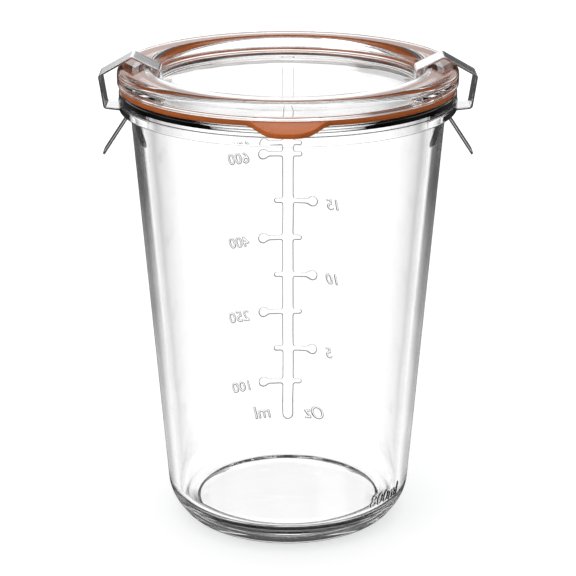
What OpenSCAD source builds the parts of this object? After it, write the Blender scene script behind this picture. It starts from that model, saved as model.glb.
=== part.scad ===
// Glass storage jar with a flat rubber sealing ring, a recessed glass lid and two spring clips.
// The jar stands on the XY plane with its axis on Z. The ring's pull tab points to -Y.

/* [Jar] */
// Height of the jar up to the sealing face of its rim
jar_h = 146.5; // [110:0.5:200]
// Outer diameter of the rim flange
rim_d = 108.8; // [90:0.2:130]
// Height of the rim flange
rim_h = 6.2; // [5:0.1:9]
// How far the flange stands out over the neck
rim_overhang = 3.6; // [3:0.1:5]
// Rounding of the flange's upper outer edge
rim_edge_r = 0.9; // [0.3:0.1:1.2]
// Rounding of the flange's lower outer edge
rim_low_r = 0.6; // [0.2:0.1:1.2]
// Depth of the fine step round the middle of the flange
rim_step = 0.15; // [0.05:0.05:0.4]
// Width of the rim from the mouth to the edge of the flange
rim_w = 7.2; // [6:0.1:10]
// Rounding of the mouth's inner edge
mouth_edge_r = 2.5; // [1:0.1:3]
// Diameter at the foot, before the heel is rounded
foot_d = 80; // [72:0.1:96]
// How far the heel's low corner lies inside the foot's edge
heel_in = 4.4; // [3:0.1:5]
// Height of the heel's low corner
heel_lift = 1.2; // [0.6:0.1:2]
// Rounding of the heel's low corner
heel_low_r = 8; // [3:0.5:9]
// Height at which the heel runs into the side
heel_top = 7.7; // [6:0.1:12]
// Rounding of the heel's upper corner
heel_high_r = 20; // [6:1:24]
// Rounding inside, where the wall meets the floor
inner_heel_r = 6; // [3:0.5:8]
// Thickness of the side wall at the floor
wall = 3.4; // [2:0.1:4.5]
// Height of the inside floor over the standing plane
floor_h = 6.5; // [4.5:0.1:9]
// Outer diameter of the ring on which the jar stands
contact_d = 65; // [60:0.2:66]
// Width of that ring
contact_w = 1.4; // [1:0.1:3]
// Width of the step from that ring up into the push-up
step_w = 0.8; // [0.6:0.1:3]
// Height of that step
step_h = 1; // [0.5:0.1:1.2]
// Diameter of the flat middle of the push-up
pushup_d = 54.6; // [30:0.2:56]
// Depth of the push-up at its middle
pushup_h = 1.3; // [1.2:0.1:2]

/* [Sealing ring] */
// Thickness of the ring as it is squeezed by the clips
ring_t = 1.7; // [1.2:0.1:3]
// How far the ring's outer edge lies inside the flange's edge
ring_inset = 0.4; // [0:0.1:1.5]
// How far the ring's inner edge reaches in over the mouth
ring_reach = 1.4; // [0:0.1:2]
// Length of the pull tab beyond the ring
tab_l = 14.4; // [6:0.2:20]
// Half of the width over which the tab leaves the ring
tab_half_w = 12.8; // [8:0.2:20]
// How full the tab is: 1 is a plain wave, more gives a blunter tip
tab_fullness = 1.8; // [1:0.1:3]
// Thickness of the tab
tab_t = 1.5; // [1:0.1:1.7]

/* [Lid] */
// How far the lid stands out over the flange
lid_overhang = 0.3; // [0:0.1:1]
// Height of the lid's ridge over its sealing face
ridge_h = 5.7; // [4:0.1:9]
// Width of the ridge at its inner edge
ridge_w = 11.4; // [9.5:0.1:12]
// Rounding of the ridge's outer shoulder
shoulder_r = 2.4; // [1:0.1:3]
// Rounding of the ridge's inner edge
ridge_inner_r = 3; // [1:0.1:3.6]
// Depth of the recess in the top of the lid
recess_h = 6.8; // [4.5:0.1:7.2]
// How much the recess narrows from the ridge down to its floor
recess_slope = 0.9; // [0.5:0.1:3]
// Thickness of the lid's plate
plate_t = 4; // [2.5:0.1:6]
// Running gap between the ring and the boss under the lid
boss_gap = 1; // [0.5:0.1:2]
// Draft of the boss, as the narrowing over its height
boss_draft = 0.3; // [0:0.1:1]

/* [Clips] */
// Width of the spring strip
clip_w = 10; // [6:0.5:16]
// Thickness of the spring strip
clip_t = 0.7; // [0.5:0.05:1]
// Radius of the bends on the middle of the strip
bend_r = 0.9; // [0.6:0.05:1.2]
// Length of the foot that lies in the recess of the lid
foot_l = 3.65; // [2:0.05:6]
// Gap between the clip's lip and the side of the recess
lip_gap = 0.8; // [0.4:0.1:2]
// How far the top of the lip lies under the top of the lid
lip_drop = 1.4; // [1.2:0.1:2.6]
// Height of the clip's ridge over the top of the lid
peak_h = 2.9; // [2.3:0.1:6]
// Distance of the clip's ridge from its lip
peak_in = 8.6; // [6:0.1:10]
// How far the clip's shoulder stands out over the flange
shoulder_out = 5.8; // [4:0.1:9]
// How far the clip's shoulder lies under the top of the lid
shoulder_drop = 3.1; // [2:0.1:5]
// How far the clip's lower corner stands out over the flange
corner_out = 4.3; // [3:0.1:7]
// Gap between the neck and the bend of the jaw
jaw_gap = 0.55; // [0.4:0.05:1]
// Height of the straight part under the jaw
jaw_h = 3.5; // [3:0.1:6]
// How far the end of the tail stands out over the flange
tail_out = 5.2; // [2:0.1:9]
// How far the end of the tail lies under the flange
tail_drop = 15.4; // [9:0.1:24]
// Rounding of the corners at both ends of the strip
strip_corner_r = 1.5; // [0.5:0.1:2.5]

/* [Hidden] */
$fn = 96;

// Steps in the arc of a rounded corner
arc_steps = 6;
// A rounding takes at most this share of the edges beside it
edge_share = 0.48;
// Small overlap that joins the pieces of one body
joint_overlap = 1.5;

rim_r = rim_d / 2;
mouth_r = rim_r - rim_w;
foot_r = foot_d / 2;
contact_r = contact_d / 2;
neck_r = rim_r - rim_overhang;
ledge_z = jar_h - rim_h;
seam_z = ledge_z + rim_h / 2;
// Radius of the outer cone at height z
function cone_r(z) = foot_r + (neck_r - foot_r) * z / ledge_z;

ring_top = jar_h + ring_t;
ring_outer_r = rim_r - ring_inset;
ring_inner_r = mouth_r - ring_reach;

lid_r = rim_r + lid_overhang;
lid_top = ring_top + ridge_h;
lid_floor = lid_top - recess_h;
ridge_inner = lid_r - ridge_w;
recess_r = ridge_inner - recess_slope;
boss_r = ring_inner_r - boss_gap;
plate_z = lid_floor - plate_t;

// Places on the middle line of the clip's strip, from its foot to its tail
lip_x = sqrt(pow(recess_r - lip_gap, 2) - pow(clip_w / 2, 2)) - clip_t / 2;
foot_x = lip_x - foot_l;
jaw_x = neck_r + jaw_gap + clip_t / 2;
clip_path = [
    [foot_x, lid_floor + clip_t / 2],
    [lip_x, lid_floor + clip_t / 2],
    [lip_x, lid_top - lip_drop],
    [lip_x + peak_in, lid_top + peak_h],
    [rim_r + shoulder_out, lid_top - shoulder_drop],
    [rim_r + corner_out, ledge_z + clip_t / 4],
    [rim_r - rim_edge_r / 2, ledge_z - clip_t / 2],
    [jaw_x, ledge_z - clip_t / 2],
    [jaw_x, ledge_z - jaw_h],
    [rim_r + tail_out, ledge_z - tail_drop]
];

function unit(v) = v / norm(v);
function left_of(v) = [-v[1], v[0]];
function turned(v, a) = [v[0] * cos(a) - v[1] * sin(a), v[0] * sin(a) + v[1] * cos(a)];
// Signed angle from direction a to direction b
function turn_angle(a, b) = atan2(a[0] * b[1] - a[1] * b[0], a * b);

// One corner of a path, rounded to radius r and drawn at distance side to its left
function corner(before, at, after, r, side) =
    let (
        d0 = unit(at - before),
        d1 = unit(after - at),
        bend = turn_angle(d0, d1),
        hand = bend > 0 ? 1 : -1,
        most = edge_share * min(norm(at - before), norm(after - at)),
        reach = min(r * tan(abs(bend) / 2), most),
        true_r = reach / tan(abs(bend) / 2),
        start = at - d0 * reach,
        n0 = left_of(d0),
        centre = start + hand * true_r * n0
    )
    [for (i = [0:arc_steps]) centre - (hand * true_r - side) * turned(n0, bend * i / arc_steps)];

// One side of a bent strip
function strip_side(path, r, side) =
    let (last = len(path) - 1)
    concat(
        [path[0] + side * left_of(unit(path[1] - path[0]))],
        [for (i = [1:last - 1]) for (p = corner(path[i - 1], path[i], path[i + 1], r, side)) p],
        [path[last] + side * left_of(unit(path[last] - path[last - 1]))]
    );

function reversed(list) = [for (i = [len(list) - 1:-1:0]) list[i]];

// Closed outline of points [x, y, rounding]
function rounded(points) =
    let (count = len(points))
    [
        for (i = [0:count - 1])
            let (
                p = points[i],
                before = points[(i + count - 1) % count],
                after = points[(i + 1) % count],
                at = [p[0], p[1]]
            )
            for (q = p[2] == 0 ? [at] : corner([before[0], before[1]], at, [after[0], after[1]], p[2], 0)) q
    ];

module jar() {
    color([0.86, 0.90, 0.90, 0.45])
        rotate_extrude()
            polygon(rounded([
                [0, pushup_h, 0],
                [pushup_d / 2, pushup_h, 1],
                [contact_r - contact_w - step_w, step_h, 0.3],
                [contact_r - contact_w, 0, 0.3],
                [contact_r, 0, 0.3],
                [foot_r - heel_in, heel_lift, heel_low_r],
                [cone_r(heel_top), heel_top, heel_high_r],
                [neck_r, ledge_z, 0.8],
                [rim_r, ledge_z, rim_low_r],
                [rim_r, seam_z - rim_step, 0],
                [rim_r - rim_step, seam_z, 0],
                [rim_r - rim_step, jar_h, rim_edge_r],
                [mouth_r, jar_h, mouth_edge_r],
                [cone_r(floor_h) - wall, floor_h, inner_heel_r],
                [0, floor_h, 0]
            ]));
}

// Outer edge of the tab at distance x from its middle
function tab_edge(x) =
    sqrt(pow(ring_outer_r, 2) - x * x)
    + tab_l * (1 + cos(180 * pow(abs(x) / tab_half_w, tab_fullness))) / 2;

module sealing_ring() {
    tab_steps = 24;
    tab_points = [
        for (i = [-tab_steps:tab_steps])
            let (x = tab_half_w * i / tab_steps)
            [x, -tab_edge(x)]
    ];
    root_y = -(sqrt(pow(ring_outer_r, 2) - pow(tab_half_w, 2)) - joint_overlap);
    color([0.80, 0.42, 0.25])
        union() {
            rotate_extrude()
                polygon([
                    [ring_inner_r, jar_h],
                    [ring_outer_r, jar_h],
                    [ring_outer_r, ring_top],
                    [ring_inner_r, ring_top]
                ]);
            translate([0, 0, jar_h])
                linear_extrude(tab_t)
                    polygon(concat(tab_points, [[tab_half_w, root_y], [-tab_half_w, root_y]]));
        }
}

module lid() {
    color([0.88, 0.91, 0.91, 0.45])
        rotate_extrude()
            polygon(rounded([
                [0, plate_z, 0],
                [boss_r - boss_draft, plate_z, 1.2],
                [boss_r, ring_top, 0.3],
                [lid_r, ring_top, 0.7],
                [lid_r, lid_top, shoulder_r],
                [ridge_inner, lid_top, ridge_inner_r],
                [recess_r, lid_floor, 1],
                [0, lid_floor, 0]
            ]));
}

// Takes the two sharp corners off the end of a strip that lies along X and ends at the origin
module strip_end_cutter() {
    tall = 4 * clip_t;
    for (side = [-1, 1])
        translate([0, side * clip_w / 2, 0])
            difference() {
                cube([2 * strip_corner_r, 2 * strip_corner_r, tall], center = true);
                translate([strip_corner_r, -side * strip_corner_r, 0])
                    cylinder(r = strip_corner_r, h = 2 * tall, center = true);
            }
}

// The spring clip on the +X side
module clip() {
    last = len(clip_path) - 1;
    tail_dir = clip_path[last] - clip_path[last - 1];
    tail_slope = atan2(tail_dir[1], tail_dir[0]);
    difference() {
        rotate([90, 0, 0])
            linear_extrude(clip_w, center = true)
                polygon(concat(
                    strip_side(clip_path, bend_r, clip_t / 2),
                    reversed(strip_side(clip_path, bend_r, -clip_t / 2))
                ));
        translate([clip_path[0][0], 0, clip_path[0][1]])
            strip_end_cutter();
        translate([clip_path[last][0], 0, clip_path[last][1]])
            rotate([0, 180 - tail_slope, 0])
                strip_end_cutter();
    }
}

module clip_right() {
    color([0.76, 0.77, 0.79])
        clip();
}

module clip_left() {
    color([0.76, 0.77, 0.79])
        mirror([1, 0, 0])
            clip();
}

jar();
sealing_ring();
lid();
clip_left();
clip_right();
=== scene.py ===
import math

import bpy
import numpy as np
from mathutils import Matrix, Vector


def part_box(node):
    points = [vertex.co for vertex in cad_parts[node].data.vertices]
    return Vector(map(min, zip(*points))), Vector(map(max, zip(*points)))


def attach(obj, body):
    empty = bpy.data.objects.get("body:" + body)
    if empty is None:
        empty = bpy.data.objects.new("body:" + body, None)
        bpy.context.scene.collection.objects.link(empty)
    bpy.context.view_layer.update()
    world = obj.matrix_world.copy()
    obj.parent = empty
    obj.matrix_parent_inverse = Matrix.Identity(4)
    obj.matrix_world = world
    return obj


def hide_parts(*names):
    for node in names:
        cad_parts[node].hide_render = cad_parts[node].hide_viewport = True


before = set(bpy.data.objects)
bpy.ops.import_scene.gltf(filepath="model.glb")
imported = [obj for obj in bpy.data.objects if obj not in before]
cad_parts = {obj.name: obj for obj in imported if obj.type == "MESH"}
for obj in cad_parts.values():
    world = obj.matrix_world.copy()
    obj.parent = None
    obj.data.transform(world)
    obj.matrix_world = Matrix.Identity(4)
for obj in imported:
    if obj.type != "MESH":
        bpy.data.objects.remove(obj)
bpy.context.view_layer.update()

# Sizes are in millimetres in this file's own helpers and become metres in make_mesh.
MM = 0.001


def node_box(node):
    low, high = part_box(node)
    return np.array(low) / MM, np.array(high) / MM


# Sizes read from the frame
JAR_BOX = node_box("jar")
RING_BOX = node_box("sealing_ring")
LID_BOX = node_box("lid")
CLIP_BOX = node_box("clip_right")
JAR_H = JAR_BOX[1][2]
RIM_R = JAR_BOX[1][0]
RING_TOP = RING_BOX[1][2]
RING_R = RING_BOX[1][0]
LID_R = LID_BOX[1][0]
LID_TOP = LID_BOX[1][2]
PLATE_Z = LID_BOX[0][2]
FOOT_X = CLIP_BOX[0][0]

# Jar
RIM_H = 6.2
RIM_OVERHANG = 3.6
RIM_EDGE_R = 0.9
RIM_LOW_R = 0.6
RIM_STEP = 0.15
SEAM_EDGE_R = 0.2
RIM_W = 7.2
MOUTH_EDGE_R = 2.5
FOOT_R = 40.0
HEEL_IN = 4.4
HEEL_LIFT = 1.2
HEEL_LOW_R = 8.0
HEEL_TOP = 7.7
HEEL_HIGH_R = 20.0
INNER_HEEL_R = 6.0
WALL = 3.4
FLOOR_H = 6.5
CONTACT_R = 32.5
CONTACT_W = 1.4
STEP_W = 0.8
STEP_H = 1.0
PUSHUP_R = 27.3
PUSHUP_H = 1.3
NECK_R = RIM_R - RIM_OVERHANG
MOUTH_R = RIM_R - RIM_W
LEDGE_Z = JAR_H - RIM_H
SEAM_Z = LEDGE_Z + RIM_H / 2


def cone_r(z):
    """Radius of the jar's outside at a height."""
    return FOOT_R + (NECK_R - FOOT_R) * z / LEDGE_Z


# Lid
RIDGE_H = 5.7
RIDGE_W = 11.4
SHOULDER_R = 2.4
RIDGE_INNER_R = 3.0
RECESS_H = 6.8
RECESS_SLOPE = 0.9
RING_REACH = 1.4
BOSS_GAP = 1.0
BOSS_DRAFT = 0.3
LID_FLOOR = LID_TOP - RECESS_H
RIDGE_INNER = LID_R - RIDGE_W
RECESS_R = RIDGE_INNER - RECESS_SLOPE
RING_IN_R = MOUTH_R - RING_REACH
BOSS_R = RING_IN_R - BOSS_GAP

# Sealing ring
RING_EDGE_R = 0.4
TAB_L = 14.4
TAB_HALF_W = 12.8
TAB_FULLNESS = 1.8
TAB_T = 1.5
# The ring's inner bead and its outer flat are pressed on and wet the glass, so they lie this deep in it. Between these
# shares of its width a film of air stays.
SKIN = 0.02
DRY_FROM = 0.2
DRY_TO = 0.5

# Clips
CLIP_W = 10.0
CLIP_T = 0.7
BEND_R = 0.9
STRIP_EDGE_R = 0.16
STRIP_CORNER_R = 1.5
LIP_X = FOOT_X + 3.65
CLIP_PATH = [
    (FOOT_X, LID_FLOOR + CLIP_T / 2),
    (LIP_X, LID_FLOOR + CLIP_T / 2),
    (LIP_X, LID_TOP - 1.4),
    (LIP_X + 8.6, LID_TOP + 2.9),
    (RIM_R + 5.8, LID_TOP - 3.1),
    (RIM_R + 4.3, LEDGE_Z + CLIP_T / 4),
    (RIM_R - RIM_EDGE_R / 2, LEDGE_Z - CLIP_T / 2),
    (NECK_R + 0.55 + CLIP_T / 2, LEDGE_Z - CLIP_T / 2),
    (NECK_R + 0.55 + CLIP_T / 2, LEDGE_Z - 3.5),
    (RIM_R + 5.2, LEDGE_Z - 15.4),
]

# Moulded marks on the glass
MARK_H = 0.38
MARK_EDGE = 0.42
MARK_BLEND = 0.9
MARK_FADE = 1.0
SCALE_HALF_W = 1.95
SCALE_LOW = 16.7
TICK_HALF_W = 0.8
TICK_REACH = 9.3
BULB_R = 1.75
STUB_REACH = 4.4
ML_MARKS = [(29.1, "100"), (55.1, "250"), (82.1, "400"), (112.0, "600")]
OZ_MARKS = [(41.3, "5"), (68.6, "10"), (95.5, "15")]
NUMERAL_H = 4.0
UNIT_H = 4.6
NUMERAL_SLANT = 0.25
CAPACITY_Z = 14.1
CAPACITY_H = 4.5
CAPACITY_TURN = 52.0
MARKS_LOW = 11.8
FAR = 9.0


# Outlines

GUARD = 0.12


def unit(v):
    return v / np.linalg.norm(v)


def left_of(v):
    return np.array([-v[1], v[0]])


def turned(v, angle):
    c, s = math.cos(angle), math.sin(angle)
    return np.array([v[0] * c - v[1] * s, v[0] * s + v[1] * c])


def corner_points(before, at, after, radius, side=0.0, steps=8):
    """A path's corner rounded to a radius, drawn at a distance side to its left."""
    before, at, after = (np.array(p, float) for p in (before, at, after))
    d0, d1 = unit(at - before), unit(after - at)
    bend = math.atan2(d0[0] * d1[1] - d0[1] * d1[0], d0 @ d1)
    hand = 1 if bend > 0 else -1
    most = 0.48 * min(np.linalg.norm(at - before), np.linalg.norm(after - at))
    reach = min(radius * math.tan(abs(bend) / 2), most)
    true_r = reach / math.tan(abs(bend) / 2)
    n0 = left_of(d0)
    centre = at - d0 * reach + hand * true_r * n0
    return [centre - (hand * true_r - side) * turned(n0, bend * i / steps) for i in range(steps + 1)]


def guards(a, b):
    """Two points close to the ends of a straight part, which keep it flat in smooth shading."""
    length = np.linalg.norm(b - a)
    if length < 5 * GUARD:
        return []
    way = (b - a) / length * GUARD
    return [a + way, b - way]


def rounded(points):
    """An open outline of (r, z, rounding) points."""
    made = []
    for i, (r, z, radius) in enumerate(points):
        if radius == 0 or i in (0, len(points) - 1):
            corner = [np.array([r, z], float)]
        else:
            steps = 4 if radius < 0.5 else 8
            corner = corner_points(points[i - 1][:2], (r, z), points[i + 1][:2], radius, steps=steps)
        if made:
            made += guards(made[-1], corner[0])
        made += corner
    return np.array(made)


# Meshes

def make_mesh(name, points, faces, smooth=True):
    """A mesh object from points in millimetres."""
    mesh = bpy.data.meshes.new(name)
    mesh.from_pydata((np.asarray(points, float) * MM).tolist(), [], [list(f) for f in faces])
    mesh.update()
    obj = bpy.data.objects.new(name, mesh)
    bpy.context.scene.collection.objects.link(obj)
    mesh.polygons.foreach_set("use_smooth", [smooth] * len(mesh.polygons))
    return obj


def round_about(r, angle):
    """Places at radius r and angle from the front, towards +X."""
    return np.stack([r * np.sin(angle), -r * np.cos(angle)], -1)


def ring_faces(rows, columns, offset=0):
    """Quads of a grid that closes on itself along its columns, seen from outside."""
    i, j = np.meshgrid(np.arange(rows - 1), np.arange(columns), indexing="ij")
    k = (j + 1) % columns
    quads = np.stack([i * columns + j, i * columns + k, (i + 1) * columns + k, (i + 1) * columns + j], -1)
    return quads.reshape(-1, 4) + offset


# A cell of a body of revolution is split in up to this many parts each way
PARTS = 8


def split_cells(rows, columns, is_near):
    """Cells (row, column, size) of a grid, counted in parts of its steps and split in four where is_near says so."""
    i, j = np.meshgrid(np.arange(rows - 1), np.arange(columns), indexing="ij")
    cells = np.stack([i, j], -1).reshape(-1, 2) * PARTS
    size, made = PARTS, []
    while size > 1 and is_near is not None and len(cells):
        near = is_near(cells + size / 2, size / PARTS)
        made.append(np.insert(cells[~near], 2, size, 1))
        size //= 2
        shifts = [(0, 0), (0, size), (size, 0), (size, size)]
        cells = np.concatenate([cells[near] + shift for shift in shifts])
    made.append(np.insert(cells, 2, size, 1))
    return np.concatenate(made).tolist()


def revolve(name, profile, columns, push=None, is_near=None):
    """A closed body of revolution. profile runs from the axis outside and back to the axis; push moves points out."""
    inner = profile[1:-1]

    def places(grid):
        row = np.minimum(grid[:, 0] // PARTS, len(inner) - 2).astype(int)
        share = (grid[:, 0] / PARTS - row)[:, None]
        r, z = (inner[row] * (1 - share) + inner[row + 1] * share).T
        return r, grid[:, 1] * (2 * math.pi / (columns * PARTS)), z

    around = columns * PARTS
    near = None if is_near is None else lambda grid, size: is_near(*places(grid), size)
    cells = split_cells(len(inner), columns, near)
    corners = {}
    for row, column, size in cells:
        for i, j in ((row, column), (row, column + size), (row + size, column + size), (row + size, column)):
            corners.setdefault((i, j % around), len(corners))
    faces = []
    for row, column, size in cells:
        edge = [(row, (column + k) % around) for k in range(size)]
        edge += [(row + k, (column + size) % around) for k in range(size)]
        edge += [(row + size, (column + size - k) % around) for k in range(size)]
        edge += [(row + size - k, column) for k in range(size)]
        faces.append([corners[place] for place in edge if place in corners])
    r, a, z = places(np.array(list(corners), float))
    if push is not None:
        r = r + push(r, a, z)
    first, last = [0, 0, profile[0, 1]], [0, 0, profile[-1, 1]]
    points = np.vstack([np.column_stack([round_about(r, a), z]), first, last])
    for j in range(columns):
        here, there = (0, j * PARTS), (0, (j + 1) % columns * PARTS)
        faces.append([len(corners), corners[there], corners[here]])
        top = (len(inner) - 1) * PARTS
        faces.append([len(corners) + 1, corners[(top, here[1])], corners[(top, there[1])]])
    return make_mesh(name, points, faces)


# Moulded marks, as distances in the unrolled wall: u runs to the reader's right and v is the height

def to_capsule(u, v, a, b, radius):
    """Distance to a rounded bar between the points a and b."""
    d = (b[0] - a[0], b[1] - a[1])
    along = np.clip(((u - a[0]) * d[0] + (v - a[1]) * d[1]) / (d[0] ** 2 + d[1] ** 2), 0, 1)
    return np.hypot(u - a[0] - along * d[0], v - a[1] - along * d[1]) - radius


def to_disc(u, v, centre, radius):
    return np.hypot(u - centre[0], v - centre[1]) - radius


def joined(d1, d2, blend):
    """Both shapes, with a fillet where they meet."""
    h = np.clip(0.5 + 0.5 * (d2 - d1) / blend, 0, 1)
    return d2 * (1 - h) + d1 * h - blend * h * (1 - h)


def glyph_edges(text, height, slant):
    """The edges of a plain text's outline, centred on its own middle, and half of its width."""
    curve = bpy.data.curves.new("glyphs", "FONT")
    curve.body = text
    curve.shear = slant
    curve.resolution_u = 6
    obj = bpy.data.objects.new("glyphs", curve)
    bpy.context.scene.collection.objects.link(obj)
    mesh = bpy.data.meshes.new_from_object(obj)
    count = np.zeros(len(mesh.edges), int)
    keys = {tuple(sorted(e.vertices)): e.index for e in mesh.edges}
    for polygon in mesh.polygons:
        for key in polygon.edge_keys:
            count[keys[tuple(sorted(key))]] += 1
    co = np.array([v.co[:2] for v in mesh.vertices])
    edges = np.array([co[list(e.vertices)] for e in mesh.edges if count[e.index] == 1])
    bpy.data.objects.remove(obj)
    bpy.data.curves.remove(curve)
    bpy.data.meshes.remove(mesh)
    low, high = edges.reshape(-1, 2).min(0), edges.reshape(-1, 2).max(0)
    scale = height / 0.73
    edges = (edges - [(low[0] + high[0]) / 2, 0.365]) * scale
    return edges, (high[0] - low[0]) * scale / 2


def to_text(u, v, centre, edges, reach):
    """Signed distance to a text's outline, worked out only where it is near."""
    d = np.full(u.shape, FAR)
    x, y = u - centre[0], v - centre[1]
    near = (abs(x) < reach + 4) & (abs(y) < 7)
    if not near.any():
        return d
    p = np.stack([x[near], y[near]], -1)
    a, b = edges[:, 0], edges[:, 1]
    along = b - a
    t = np.clip(((p[:, None] - a) * along).sum(-1) / (along ** 2).sum(-1), 0, 1)
    gap = np.linalg.norm(p[:, None] - a - t[..., None] * along, axis=-1).min(1)
    crosses = (a[:, 1] > p[:, None, 1]) != (b[:, 1] > p[:, None, 1])
    with np.errstate(divide="ignore", invalid="ignore"):
        cut = a[:, 0] + (p[:, None, 1] - a[:, 1]) * along[:, 0] / along[:, 1]
    inside = (crosses & (p[:, None, 0] < cut)).sum(1) % 2 == 1
    d[near] = np.where(inside, -gap, gap)
    return d


def raised(distance):
    """Height of a moulded mark at a distance from its outline."""
    t = np.clip(0.5 - distance / MARK_EDGE, 0, 1)
    return MARK_H * t * t * (3 - 2 * t)


def to_scale(u, v):
    """Distance to the measuring scale on the back: a bar, ticks with bulbs, numerals and units."""
    bar = to_capsule(u, v, (0, SCALE_LOW), (0, LEDGE_Z + 4), SCALE_HALF_W)
    for marks, hand in ((ML_MARKS, 1), (OZ_MARKS, -1)):
        for z, _ in marks:
            tick = to_capsule(u, v, (0, z), (hand * TICK_REACH, z), TICK_HALF_W)
            tick = joined(tick, to_disc(u, v, (hand * TICK_REACH, z), BULB_R), MARK_BLEND)
            stub = to_capsule(u, v, (0, z), (-hand * STUB_REACH, z), TICK_HALF_W)
            bar = joined(bar, np.minimum(tick, stub), MARK_BLEND)
    d = bar
    for marks, hand in ((ML_MARKS, 1), (OZ_MARKS, -1)):
        for z, text in marks:
            edges, half = glyph_edges(text, NUMERAL_H, NUMERAL_SLANT)
            centre = (hand * (TICK_REACH + BULB_R + 3.6) + hand * half, z - 0.6)
            d = np.minimum(d, to_text(u, v, centre, edges, half))
    for text, hand in (("ml", 1), ("Oz", -1)):
        edges, half = glyph_edges(text, UNIT_H, NUMERAL_SLANT)
        d = np.minimum(d, to_text(u, v, (hand * 10.0, SCALE_LOW + 1.0), edges, half))
    return d


def to_capacity(u, v):
    edges, half = glyph_edges("800ml", CAPACITY_H, NUMERAL_SLANT)
    return to_text(u, v, (0, CAPACITY_Z), edges, half)


def to_marks(r, a, z):
    """Distance along the jar's wall to the nearest mark's outline."""
    d = np.full(r.shape, FAR)
    wall = (r > cone_r(z) - WALL / 2) & (z > MARKS_LOW) & (z < LEDGE_Z)
    for middle, marks in ((math.pi, to_scale), (math.radians(CAPACITY_TURN), to_capacity)):
        turn = (a - middle + math.pi) % (2 * math.pi) - math.pi
        here = wall & (abs(turn) < math.radians(36))
        d[here] = marks((r * turn)[here], z[here])
    return d


def push_marks(r, a, z):
    """How far the marks stand out of the jar's wall, fading out under the flange."""
    return raised(to_marks(r, a, z)) * np.clip((LEDGE_Z - MARK_FADE - z) / MARK_FADE, 0, 1)


def near_marks(r, a, z, share):
    """Whether cells of a share of a base cell meet the sloping edge of a mark."""
    reach = share * math.hypot(WALL_STEP, 2 * math.pi / JAR_COLUMNS * NECK_R) / 2
    return abs(to_marks(r, a, z)) < reach + MARK_EDGE / 2


# Pieces

JAR_COLUMNS = 160
LID_COLUMNS = 240
WALL_STEP = 1.7


def make_jar():
    under = rounded([
        (0, PUSHUP_H, 0),
        (PUSHUP_R, PUSHUP_H, 1),
        (CONTACT_R - CONTACT_W - STEP_W, STEP_H, 0.3),
        (CONTACT_R - CONTACT_W, 0, 0.3),
        (CONTACT_R, 0, 0.3),
        (FOOT_R - HEEL_IN, HEEL_LIFT, HEEL_LOW_R),
        (cone_r(HEEL_TOP), HEEL_TOP, HEEL_HIGH_R),
        (NECK_R, LEDGE_Z, 0),
    ])[:-2]
    heights = np.arange(MARKS_LOW, LEDGE_Z - 1.3, WALL_STEP)
    top = rounded([
        (cone_r(heights[-1]), heights[-1], 0),
        (NECK_R, LEDGE_Z, 0.8),
        (RIM_R, LEDGE_Z, RIM_LOW_R),
        (RIM_R, SEAM_Z - RIM_STEP, SEAM_EDGE_R),
        (RIM_R - RIM_STEP, SEAM_Z, SEAM_EDGE_R),
        (RIM_R - RIM_STEP, JAR_H, RIM_EDGE_R),
        (MOUTH_R, JAR_H, MOUTH_EDGE_R),
        (cone_r(FLOOR_H) - WALL, FLOOR_H, INNER_HEEL_R),
        (0, FLOOR_H, 0),
    ])[1:]
    profile = np.vstack([under, np.stack([cone_r(heights), heights], -1), top])
    return revolve("jar_glass", profile, JAR_COLUMNS, push_marks, near_marks)


def make_lid():
    profile = rounded([
        (0, PLATE_Z, 0),
        (BOSS_R - BOSS_DRAFT, PLATE_Z, 1.2),
        (BOSS_R, RING_TOP, 0.3),
        (LID_R, RING_TOP, 0.7),
        (LID_R, LID_TOP, SHOULDER_R),
        (RIDGE_INNER, LID_TOP, RIDGE_INNER_R),
        (RECESS_R, LID_FLOOR, 1),
        (0, LID_FLOOR, 0),
    ])
    return revolve("lid_glass", profile, LID_COLUMNS)


def tab_edge(x):
    """Distance of the tab's outer edge in front of the axis."""
    wave = (1 + np.cos(math.pi * (abs(x) / TAB_HALF_W) ** TAB_FULLNESS)) / 2
    return np.sqrt(RING_R ** 2 - x ** 2) + TAB_L * wave


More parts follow.
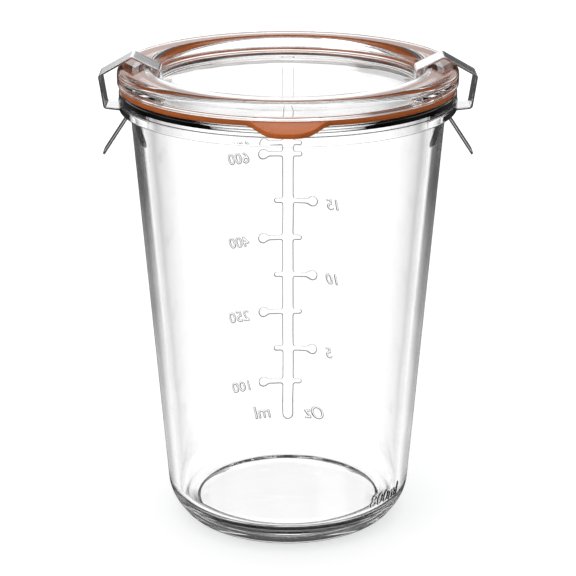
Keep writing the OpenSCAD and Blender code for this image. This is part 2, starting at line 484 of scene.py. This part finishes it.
def make_ring():
    half_turn = math.asin(TAB_HALF_W / RING_R)
    across = np.linspace(-1, 1, 81) * TAB_HALF_W
    tab_angles = np.arcsin(across / RING_R)
    rest_angles = np.linspace(half_turn, 2 * math.pi - half_turn, 161)[1:-1]
    angles = np.concatenate([tab_angles, rest_angles])
    outer = round_about(RING_R, angles)
    outer[: len(across)] = np.stack([across, -tab_edge(across)], -1)
    inner = round_about(RING_IN_R, angles)
    length = np.linalg.norm(outer - inner, axis=1)
    out = (outer - inner) / length[:, None]
    low, high = JAR_H, RING_TOP
    reach = length - (RING_R - RING_IN_R)
    shares = np.array([0, 0.05, DRY_FROM, DRY_FROM + 0.03, DRY_TO - 0.03, DRY_TO, 0.75, 0.95, 1])
    curve = np.linspace(0, math.pi / 2, 6)
    rows = []

    def row(from_inner, z):
        rows.append(np.concatenate([inner + out * from_inner[:, None], np.full((len(angles), 1), 0.0) + z[:, None]], 1))

    def film(share):
        return -SKIN if DRY_FROM < share < DRY_TO else SKIN

    one = np.ones(len(angles))
    thin = np.clip(reach / 6, 0, 1) * (RING_TOP - JAR_H - TAB_T)
    for turn in curve[::-1]:
        row(one * RING_EDGE_R * (1 - math.sin(turn)), one * (low - SKIN + RING_EDGE_R * (1 - math.cos(turn))))
    for share in shares[1:-1]:
        row(RING_EDGE_R + (length - 2 * RING_EDGE_R) * share, one * (low - film(share)))
    for turn in curve[::-1]:
        row(length - RING_EDGE_R * (1 - math.sin(turn)), low - SKIN + one * RING_EDGE_R * (1 - math.cos(turn)))
    for turn in curve:
        row(length - RING_EDGE_R * (1 - math.cos(turn)), high + SKIN - thin - RING_EDGE_R * (1 - math.sin(turn)) * one)
    for share in shares[::-1][1:-1]:
        row(RING_EDGE_R + (length - 2 * RING_EDGE_R) * share, high + film(share) - thin * share)
    for turn in curve:
        row(one * RING_EDGE_R * (1 - math.sin(turn)), one * (high + SKIN - RING_EDGE_R * (1 - math.cos(turn))))
    points = np.array(rows)
    count, columns = points.shape[:2]
    faces = []
    for i in range(count):
        k = (i + 1) % count
        for j in range(columns):
            m = (j + 1) % columns
            faces.append([i * columns + j, i * columns + m, k * columns + m, k * columns + j])
    return make_mesh("sealing_ring_rubber", points.reshape(-1, 3), faces)


def strip_line():
    """Places along the middle of the clip's strip."""
    start, end = (np.array(CLIP_PATH[i], float) for i in (0, -1))
    line = []
    for i in range(1, len(CLIP_PATH) - 1):
        corner = corner_points(CLIP_PATH[i - 1], CLIP_PATH[i], CLIP_PATH[i + 1], BEND_R)
        line += guards(line[-1], corner[0]) if line else guards(start, corner[0])[1:]
        line += corner
    return np.array([start, *line, *guards(line[-1], end)[:1], end])


def with_end_steps(line):
    """The line with close steps at both ends, where the strip's corners are round."""
    made = []
    for start, end in ((line[0], line[1]), (line[-1], line[-2])):
        way = unit(end - start)
        turns = np.linspace(0, math.pi / 2, 8)
        made.append([start + way * STRIP_CORNER_R * (1 - math.cos(t)) for t in turns])
    return np.vstack([made[0], line[1:-1], made[1][::-1]])


def make_clip(name, hand):
    """A spring clip on the side hand (1 right, -1 left): the strip's rounded section carried along its line."""
    line = with_end_steps(strip_line())
    steps = np.linalg.norm(np.diff(line, axis=0), axis=1)
    along = np.concatenate([[0], np.cumsum(steps)])
    way = np.gradient(line, axis=0)
    way /= np.linalg.norm(way, axis=1)[:, None]
    side = np.stack([-way[:, 1], way[:, 0]], -1)
    to_end = np.minimum(along, along[-1] - along)
    gone = np.clip(STRIP_CORNER_R - to_end, 0, STRIP_CORNER_R)
    half_w = CLIP_W / 2 - STRIP_CORNER_R + np.sqrt(np.maximum(STRIP_CORNER_R ** 2 - gone ** 2, 0))
    half_t = CLIP_T / 2
    turns = np.linspace(0, math.pi / 2, 4)
    section = []
    for x_side, y_side in ((1, 1), (-1, 1), (-1, -1), (1, -1)):
        arc = [(math.cos(t), math.sin(t)) for t in turns] + [(-GUARD / STRIP_EDGE_R, 1.0)]
        if x_side * y_side < 0:
            arc.reverse()
        section += [(x_side, y_side, c, s) for c, s in arc]
    points = []
    for p, n, w in zip(line, side, half_w):
        for x_side, y_side, c, s in section:
            y = x_side * (w - STRIP_EDGE_R + STRIP_EDGE_R * c)
            off = y_side * (half_t - STRIP_EDGE_R + STRIP_EDGE_R * s)
            q = p + n * off
            points.append((hand * q[0], hand * y, q[1]))
    columns, rows = len(section), len(line)
    faces = [list(q) for q in ring_faces(rows, columns)]
    faces.append(list(range(columns))[::-1])
    faces.append([(rows - 1) * columns + j for j in range(columns)])
    return make_mesh(name, points, faces)


# Materials

def new_material(name):
    material = bpy.data.materials.new(name)
    material.use_nodes = True
    tree = material.node_tree
    tree.nodes.clear()
    output = tree.nodes.new("ShaderNodeOutputMaterial")
    shader = tree.nodes.new("ShaderNodeBsdfPrincipled")
    return material, tree, output, shader


def noise(tree, scale, detail=2.0, stretch=None):
    """A noise in the piece's own space, in metres."""
    place = tree.nodes.new("ShaderNodeTexCoord")
    source = place.outputs["Object"]
    if stretch is not None:
        mapping = tree.nodes.new("ShaderNodeMapping")
        mapping.inputs["Scale"].default_value = stretch
        tree.links.new(source, mapping.inputs["Vector"])
        source = mapping.outputs["Vector"]
    texture = tree.nodes.new("ShaderNodeTexNoise")
    texture.inputs["Scale"].default_value = scale
    texture.inputs["Detail"].default_value = detail
    tree.links.new(source, texture.inputs["Vector"])
    return texture.outputs["Fac"]


def between(tree, value, low, high):
    """value from 0 to 1 spread between two numbers."""
    spread = tree.nodes.new("ShaderNodeMapRange")
    spread.inputs["To Min"].default_value = low
    spread.inputs["To Max"].default_value = high
    tree.links.new(value, spread.inputs["Value"])
    return spread.outputs["Result"]


def bump(tree, value, strength, distance):
    node = tree.nodes.new("ShaderNodeBump")
    node.inputs["Strength"].default_value = strength
    node.inputs["Distance"].default_value = distance
    tree.links.new(value, node.inputs["Height"])
    return node.outputs["Normal"]


def ramp(tree, value, stops):
    """A grey level that follows value through (place, level) stops."""
    node = tree.nodes.new("ShaderNodeValToRGB")
    points = node.color_ramp.elements
    while len(points) < len(stops):
        points.new(1.0)
    for point, (place, level) in zip(points, stops):
        point.position = place
        point.color = (level, level, level, 1)
    tree.links.new(value, node.inputs["Fac"])
    return node.outputs["Color"]


def calc(tree, kind, *values):
    """A math node on numbers and sockets."""
    node = tree.nodes.new("ShaderNodeMath")
    node.operation = kind
    for i, value in enumerate(values):
        if isinstance(value, (int, float)):
            node.inputs[i].default_value = value
        else:
            tree.links.new(value, node.inputs[i])
    return node.outputs[0]


def vector(tree, kind, *values):
    """A vector math node on triples and sockets, with its vector and its number."""
    node = tree.nodes.new("ShaderNodeVectorMath")
    node.operation = kind
    for i, value in enumerate(values):
        if isinstance(value, tuple):
            node.inputs[i].default_value = value
        else:
            tree.links.new(value, node.inputs[i])
    return node.outputs[0], node.outputs[1]


def glass_material(name, edge, shade_by_height, skin, painted_shade_lines=(), relief_shade=None):
    """Pressed clear glass, faintly wavy. Its skin outside the cone of radius skin at the foot has shade painted into
    its colour where it is seen edge on, standing in for dark reflections and refractions: edge gives how much of this
    painted shade shows by facing and the height ramp how strong it is up the jar's height. Painted dark lines at set
    heights and along the sloping edges of the marks add to it."""
    material, tree, output, shader = new_material(name)
    shader.inputs["Transmission Weight"].default_value = 1.0
    shader.inputs["IOR"].default_value = 1.51
    facing = tree.nodes.new("ShaderNodeLayerWeight").outputs["Facing"]
    place = tree.nodes.new("ShaderNodeTexCoord")
    split = tree.nodes.new("ShaderNodeSeparateXYZ")
    tree.links.new(place.outputs["Object"], split.inputs[0])
    height = calc(tree, "MULTIPLY", split.outputs["Z"], 1 / (JAR_H * MM))
    # Painted shade: darker by facing and up the height, in place of dark reflections and refractions.
    painted_shade = calc(tree, "MULTIPLY", ramp(tree, facing, edge), ramp(tree, height, shade_by_height))
    away = calc(tree, "SQRT", calc(tree, "ADD", calc(tree, "MULTIPLY", split.outputs["X"], split.outputs["X"]),
                                   calc(tree, "MULTIPLY", split.outputs["Y"], split.outputs["Y"])))
    wall = calc(tree, "MULTIPLY_ADD", split.outputs["Z"], (NECK_R - FOOT_R) / LEDGE_Z, skin * MM)
    on_skin = calc(tree, "GREATER_THAN", away, wall)
    painted_shade = calc(tree, "MULTIPLY", painted_shade, on_skin)
    from_outside = calc(tree, "SUBTRACT", 1.0, tree.nodes.new("ShaderNodeNewGeometry").outputs["Backfacing"])
    from_outside = calc(tree, "MULTIPLY", from_outside, on_skin)
    # Painted dark lines and bands at set heights.
    for middle, half, level, by_facing, both_sides in painted_shade_lines:
        line = calc(tree, "COMPARE", calc(tree, "MULTIPLY", split.outputs["Z"], 1 / MM), middle, half)
        line = calc(tree, "MULTIPLY", calc(tree, "MULTIPLY", line, level), ramp(tree, facing, by_facing))
        if not both_sides:
            line = calc(tree, "MULTIPLY", line, from_outside)
        painted_shade = calc(tree, "MAXIMUM", painted_shade, line)
    # Painted dark outlines on the sloping edges of the moulded marks.
    if relief_shade is not None:
        low, high, steep = relief_shade
        outward = vector(tree, "NORMALIZE", vector(tree, "MULTIPLY", place.outputs["Object"], (1, 1, 0))[0])[0]
        level = calc(tree, "ABSOLUTE", vector(tree, "DOT_PRODUCT", outward, place.outputs["Normal"])[1])
        line = ramp(tree, calc(tree, "SUBTRACT", 1.0, level), steep)
        line = calc(tree, "MULTIPLY", line, calc(tree, "GREATER_THAN", split.outputs["Z"], low * MM))
        line = calc(tree, "MULTIPLY", line, calc(tree, "LESS_THAN", split.outputs["Z"], high * MM))
        painted_shade = calc(tree, "MAXIMUM", painted_shade, calc(tree, "MULTIPLY", line, on_skin))
    # The painted shade turns the glass's base colour from white towards black.
    tone = tree.nodes.new("ShaderNodeMix")
    tone.data_type = "RGBA"
    tone.inputs["A"].default_value = (1, 1, 1, 1)
    tone.inputs["B"].default_value = (0, 0, 0, 1)
    tree.links.new(painted_shade, tone.inputs["Factor"])
    tree.links.new(tone.outputs["Result"], shader.inputs["Base Color"])
    waves = noise(tree, 55.0, 1.0)
    tree.links.new(bump(tree, waves, 0.04, 0.002), shader.inputs["Normal"])
    tree.links.new(between(tree, noise(tree, 90.0), 0.0, 0.012), shader.inputs["Roughness"])
    clear = tree.nodes.new("ShaderNodeBsdfTransparent")
    clear.inputs["Color"].default_value = (0.93, 0.94, 0.94, 1)
    path = tree.nodes.new("ShaderNodeLightPath")
    mix = tree.nodes.new("ShaderNodeMixShader")
    tree.links.new(path.outputs["Is Shadow Ray"], mix.inputs["Fac"])
    tree.links.new(shader.outputs[0], mix.inputs[1])
    tree.links.new(clear.outputs[0], mix.inputs[2])
    tree.links.new(mix.outputs[0], output.inputs["Surface"])
    return material


def rubber_material():
    """Smooth natural rubber with a faint mottle and a satin skin."""
    material, tree, output, shader = new_material("ring_rubber")
    tone = tree.nodes.new("ShaderNodeValToRGB")
    tone.color_ramp.elements[0].position = 0.3
    tone.color_ramp.elements[0].color = (0.50, 0.122, 0.024, 1)
    tone.color_ramp.elements[1].position = 0.7
    tone.color_ramp.elements[1].color = (0.58, 0.150, 0.032, 1)
    tree.links.new(noise(tree, 160.0, 4.0), tone.inputs["Fac"])
    tree.links.new(tone.outputs["Color"], shader.inputs["Base Color"])
    tree.links.new(between(tree, noise(tree, 400.0, 3.0), 0.30, 0.46), shader.inputs["Roughness"])
    tree.links.new(bump(tree, noise(tree, 1400.0, 3.0), 0.10, 0.0003), shader.inputs["Normal"])
    shader.inputs["Specular IOR Level"].default_value = 0.12
    shader.inputs["Subsurface Weight"].default_value = 0.15
    shader.inputs["Subsurface Radius"].default_value = (1.0, 0.35, 0.15)
    shader.inputs["Subsurface Scale"].default_value = 0.0015
    tree.links.new(shader.outputs[0], output.inputs["Surface"])
    return material


def steel_material():
    """Bright rolled spring strip: fine marks along the strip's width of rolling and small scuffs."""
    material, tree, output, shader = new_material("clip_steel")
    shader.inputs["Metallic"].default_value = 1.0
    tone = tree.nodes.new("ShaderNodeValToRGB")
    tone.color_ramp.elements[0].color = (0.74, 0.74, 0.755, 1)
    tone.color_ramp.elements[1].color = (0.84, 0.84, 0.85, 1)
    tree.links.new(noise(tree, 260.0, 3.0), tone.inputs["Fac"])
    tree.links.new(tone.outputs["Color"], shader.inputs["Base Color"])
    grain = noise(tree, 900.0, 4.0, stretch=(0.12, 1.0, 0.12))
    tree.links.new(between(tree, grain, 0.10, 0.22), shader.inputs["Roughness"])
    tree.links.new(bump(tree, grain, 0.06, 0.0002), shader.inputs["Normal"])
    tree.links.new(shader.outputs[0], output.inputs["Surface"])
    return material


def dress(piece, material, body, node):
    piece.data.materials.append(material)
    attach(piece, body)
    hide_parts(node)


# Painted shade in the glass's colour: by facing, and by height as a share of the jar's height.
JAR_EDGE_SHADE = [(0.0, 0.0), (0.63, 0.0), (0.67, 1.0), (1.0, 1.0)]
JAR_SHADE_BY_HEIGHT = [(0.0, 0.0), (0.25, 0.1), (0.53, 0.62), (0.8, 0.95), (1.0, 0.95)]
LID_EDGE_SHADE = [(0.0, 0.0), (0.78, 0.0), (0.9, 0.6), (1.0, 0.9)]
LID_SHADE_BY_HEIGHT = [(0.0, 1.0), (1.0, 1.0)]
# Painted shade bands in the jar's colour, as (middle height and half width in mm, strength, ramp by facing, whether it
# shows from both sides). This one is a dark band under the sealing ring, standing in for the shadowed gap under the
# ring seen in the rim's edge.
SHADE_UNDER_RING = (145.4, 0.95, 1.0, [(0.0, 0.0), (0.05, 0.0), (0.14, 1.0), (1.0, 1.0)], True)
# A painted dark line along the rim's edge, within that painted shade band.
RIM_SHADE_LINE = (145.4, 0.14, 0.95, [(0.0, 1.0), (1.0, 1.0)], True)
# A painted dark line along the seam step.
SEAM_SHADE_LINE = (143.38, 0.16, 0.97, [(0.0, 1.0), (1.0, 1.0)], True)
# A painted dark band round the heel, seen from outside, standing in for the shadowed floor that the heel shows by
# refraction.
HEEL_SHADE_BAND = (8.2, 1.6, 0.96, [(0.0, 0.0), (0.1, 0.0), (0.16, 1.0), (0.48, 1.0), (0.68, 0.0), (1.0, 0.0)], False)
# Painted shade along the sloping edges of the moulded marks, standing in for their refraction: from and up to a height,
# and the tone by how far the skin turns from the wall
RELIEF_SHADE = (MARKS_LOW, LEDGE_Z - MARK_FADE, [(0.0, 0.0), (0.04, 0.0), (0.15, 0.95), (1.0, 0.95)])
jar_glass = glass_material("jar_glass", JAR_EDGE_SHADE, JAR_SHADE_BY_HEIGHT, FOOT_R - WALL / 2,
                           [SHADE_UNDER_RING, RIM_SHADE_LINE, SEAM_SHADE_LINE, HEEL_SHADE_BAND], RELIEF_SHADE)
lid_glass = glass_material("lid_glass", LID_EDGE_SHADE, LID_SHADE_BY_HEIGHT, 0.0)
rubber = rubber_material()
steel = steel_material()

dress(make_jar(), jar_glass, "jar", "jar")
dress(make_lid(), lid_glass, "lid", "lid")
dress(make_ring(), rubber, "sealing_ring", "sealing_ring")
dress(make_clip("clip_right_steel", 1), steel, "clip_right", "clip_right")
dress(make_clip("clip_left_steel", -1), steel, "clip_left", "clip_left")


# Studio

FLOOR_Z = -0.0001
FLOOR_HALF = 4.0
FLOOR_GLOW = 0.42
# What the floor's glow gains by the distance from the axis as a share of FLOOR_HALF
FLOOR_FADE = [(0.0, 0.0), (0.1, 0.0), (0.4, 0.58), (1.0, 0.58)]
# The dark line under the heel that glass sees: by the distance from the axis as a share of SHADOW_REACH in metres, and
# from the back (0) round to the front (1), where the floor gets the least light
SHADOW_REACH = 0.1
HEEL_SHADOW = [(0.0, 0.0), (0.302, 0.0), (0.306, 0.95), (0.365, 0.95), (0.375, 0.0), (1.0, 0.0)]
SHADOW_SIDE = [(0.0, 0.0), (0.45, 0.0), (0.65, 1.0), (1.0, 1.0)]


def through_glass(tree):
    """1 for rays that glass or metal sends on, 0 for others."""
    path = tree.nodes.new("ShaderNodeLightPath")
    return calc(tree, "MAXIMUM", path.outputs["Is Glossy Ray"], path.outputs["Is Transmission Ray"])


def make_floor():
    """A white floor that keeps the shadow; glass and metal see the studio's light screens in its place, save for a
    shadow ring painted under the jar's heel on its front.
    """
    half = FLOOR_HALF / MM
    z = FLOOR_Z / MM
    floor = make_mesh("floor", [(-half, -half, z), (half, -half, z), (half, half, z), (-half, half, z)], [(0, 1, 2, 3)])
    material, tree, output, shader = new_material("floor_white")
    shader.inputs["Base Color"].default_value = (0.86, 0.86, 0.86, 1)
    shader.inputs["Roughness"].default_value = 1.0
    shader.inputs["Specular IOR Level"].default_value = 0.0
    glow = tree.nodes.new("ShaderNodeEmission")
    path = tree.nodes.new("ShaderNodeLightPath")
    far = vector(tree, "LENGTH", tree.nodes.new("ShaderNodeTexCoord").outputs["Object"])[1]
    shine = calc(tree, "ADD", ramp(tree, calc(tree, "MULTIPLY", far, 1 / FLOOR_HALF), FLOOR_FADE), FLOOR_GLOW)
    tree.links.new(calc(tree, "MULTIPLY", path.outputs["Is Camera Ray"], shine), glow.inputs["Strength"])
    both = tree.nodes.new("ShaderNodeAddShader")
    tree.links.new(shader.outputs[0], both.inputs[0])
    tree.links.new(glow.outputs[0], both.inputs[1])
    clear = tree.nodes.new("ShaderNodeBsdfTransparent")
    place = tree.nodes.new("ShaderNodeTexCoord")
    away = tree.nodes.new("ShaderNodeVectorMath")
    away.operation = "LENGTH"
    tree.links.new(place.outputs["Object"], away.inputs[0])
    split = tree.nodes.new("ShaderNodeSeparateXYZ")
    tree.links.new(place.outputs["Object"], split.inputs[0])
    front = ramp(tree, calc(tree, "MULTIPLY_ADD", calc(tree, "DIVIDE", split.outputs["Y"], away.outputs["Value"]), -0.5, 0.5),
                 SHADOW_SIDE)
    ring = ramp(tree, calc(tree, "MULTIPLY", away.outputs["Value"], 1 / SHADOW_REACH), HEEL_SHADOW)
    tree.links.new(calc(tree, "SUBTRACT", 1.0, calc(tree, "MULTIPLY", ring, front)), clear.inputs["Color"])
    mix = tree.nodes.new("ShaderNodeMixShader")
    tree.links.new(through_glass(tree), mix.inputs["Fac"])
    tree.links.new(both.outputs[0], mix.inputs[1])
    tree.links.new(clear.outputs[0], mix.inputs[2])
    tree.links.new(mix.outputs[0], output.inputs["Surface"])
    floor.data.materials.append(material)


# The light screens: eight round the object, with dark gaps between them. Levels go by degrees.
SCREEN_EDGE = [(0, 1.0), (8, 1.0), (10, 0.87), (12, 0.76), (14, 0.64), (17, 0.52), (19, 0.40), (22.5, 0.34)]
GAP_LIFT = [(-90, 1.0), (-60, 1.0), (-40, 0.8), (-24, 0.45), (-19, 0.20), (-14, 0.0), (0, 0.0)]
UPPER_EDGE = [(0, 1.0), (13, 1.0), (16, 0.8), (17.5, 0.13), (22.5, 0.09)]
UPPER_LIFT = [(-90, 0.0), (11.8, 0.0), (13, 1.0), (90, 1.0)]
UPPER_TURN = -11.5
LEVELS_UP = [(-90, 1.0), (16.5, 1.0), (18.5, 0.08), (70, 0.08), (75, 0.9), (90, 0.9)]
MIRROR_LEVELS = [(-90, 0.08), (1.0, 0.08), (3.0, 1.0), (17, 1.0), (21, 0.08), (55, 0.08), (60, 0.9), (90, 0.9)]
SCREEN_LEVEL = 1.22
WORLD_LIT = 0.32


def by_turn(stops):
    return [(math.sin(math.radians(4 * turn)) ** 2, level) for turn, level in stops]


def by_rise(stops):
    return [((math.sin(math.radians(rise)) + 1) / 2, level) for rise, level in stops]


def make_world():
    """White behind the object, and an even light on it. Glass and metal also see the screens and their gaps."""
    world = bpy.data.worlds.new("studio")
    bpy.context.scene.world = world
    world.use_nodes = True
    tree = world.node_tree
    tree.nodes.clear()
    output = tree.nodes.new("ShaderNodeOutputWorld")
    back = tree.nodes.new("ShaderNodeBackground")
    back.inputs["Color"].default_value = (1, 1, 1, 1)
    place = tree.nodes.new("ShaderNodeTexCoord")
    split = tree.nodes.new("ShaderNodeSeparateXYZ")
    tree.links.new(place.outputs["Generated"], split.inputs[0])
    around = calc(tree, "ARCTAN2", split.outputs["Y"], split.outputs["X"])
    rise = calc(tree, "MULTIPLY_ADD", split.outputs["Z"], 0.5, 0.5)

    def sides(turn):
        wave = calc(tree, "SINE", calc(tree, "MULTIPLY_ADD", around, 4.0, math.radians(4 * turn)))
        return calc(tree, "MULTIPLY", wave, wave)

    lower = ramp(tree, sides(0.0), by_turn(SCREEN_EDGE))
    lift = ramp(tree, rise, by_rise(GAP_LIFT))
    lower = calc(tree, "ADD", lower, calc(tree, "MULTIPLY", lift, calc(tree, "SUBTRACT", 1.0, lower)))
    upper = ramp(tree, sides(UPPER_TURN), by_turn(UPPER_EDGE))
    lift = ramp(tree, rise, by_rise(UPPER_LIFT))
    upper = calc(tree, "ADD", upper, calc(tree, "MULTIPLY", lift, calc(tree, "SUBTRACT", 1.0, upper)))
    is_upper = calc(tree, "GREATER_THAN", split.outputs["Z"], 0.0)
    screens = calc(tree, "ADD", calc(tree, "MULTIPLY", is_upper, upper),
                   calc(tree, "MULTIPLY", calc(tree, "SUBTRACT", 1.0, is_upper), lower))
    path = tree.nodes.new("ShaderNodeLightPath")
    mirrored = calc(tree, "SUBTRACT", 1.0, path.outputs["Is Transmission Ray"])
    levels = calc(tree, "ADD", calc(tree, "MULTIPLY", mirrored, ramp(tree, rise, by_rise(MIRROR_LEVELS))),
                  calc(tree, "MULTIPLY", calc(tree, "SUBTRACT", 1.0, mirrored), ramp(tree, rise, by_rise(LEVELS_UP))))
    shine = calc(tree, "MULTIPLY", calc(tree, "MULTIPLY", screens, levels), SCREEN_LEVEL)
    picked = through_glass(tree)
    level = calc(tree, "ADD", calc(tree, "MULTIPLY", picked, shine),
                 calc(tree, "MULTIPLY", calc(tree, "SUBTRACT", 1.0, picked), WORLD_LIT))
    tree.links.new(calc(tree, "MAXIMUM", level, path.outputs["Is Camera Ray"]), back.inputs["Strength"])
    tree.links.new(back.outputs[0], output.inputs["Surface"])


def make_lamp(name, place, size, watts):
    light = bpy.data.lights.new(name, "AREA")
    light.shape = "RECTANGLE"
    light.size, light.size_y = size
    light.energy = watts
    lamp = bpy.data.objects.new(name, light)
    bpy.context.scene.collection.objects.link(lamp)
    lamp.location = place
    lamp.rotation_euler = (Vector((0, 0, 0.08)) - Vector(place)).to_track_quat("-Z", "Y").to_euler()
    lamp.visible_camera = False
    return lamp


# Camera: its place and tilt come from the ellipses of the rim and the base in the photograph
CAMERA_BACK = 0.5943
CAMERA_H = 0.2827
CAMERA_TILT = math.radians(19.02)
FOCAL_PX = 1887.0
PHOTO_PX = 576.0
SENSOR_MM = 36.0


def make_camera():
    data = bpy.data.cameras.new("camera")
    data.sensor_width = SENSOR_MM
    data.lens = FOCAL_PX / PHOTO_PX * SENSOR_MM
    camera = bpy.data.objects.new("camera", data)
    bpy.context.scene.collection.objects.link(camera)
    camera.location = (0, -CAMERA_BACK, CAMERA_H)
    camera.rotation_euler = (math.pi / 2 - CAMERA_TILT, 0, 0)
    bpy.context.scene.camera = camera


make_floor()
make_world()
make_lamp("top", (0.0, 0.1, 1.6), (1.8, 1.8), 16.0)
make_lamp("key", (-1.0, -0.8, 1.2), (0.9, 0.9), 6.0)
make_camera()

scene = bpy.context.scene
scene.view_settings.view_transform = "Standard"
scene.cycles.max_bounces = 24
scene.cycles.transmission_bounces = 20
scene.cycles.glossy_bounces = 12
scene.cycles.transparent_max_bounces = 24
scene.cycles.caustics_reflective = False
scene.cycles.caustics_refractive = False
scene.cycles.use_denoising = True
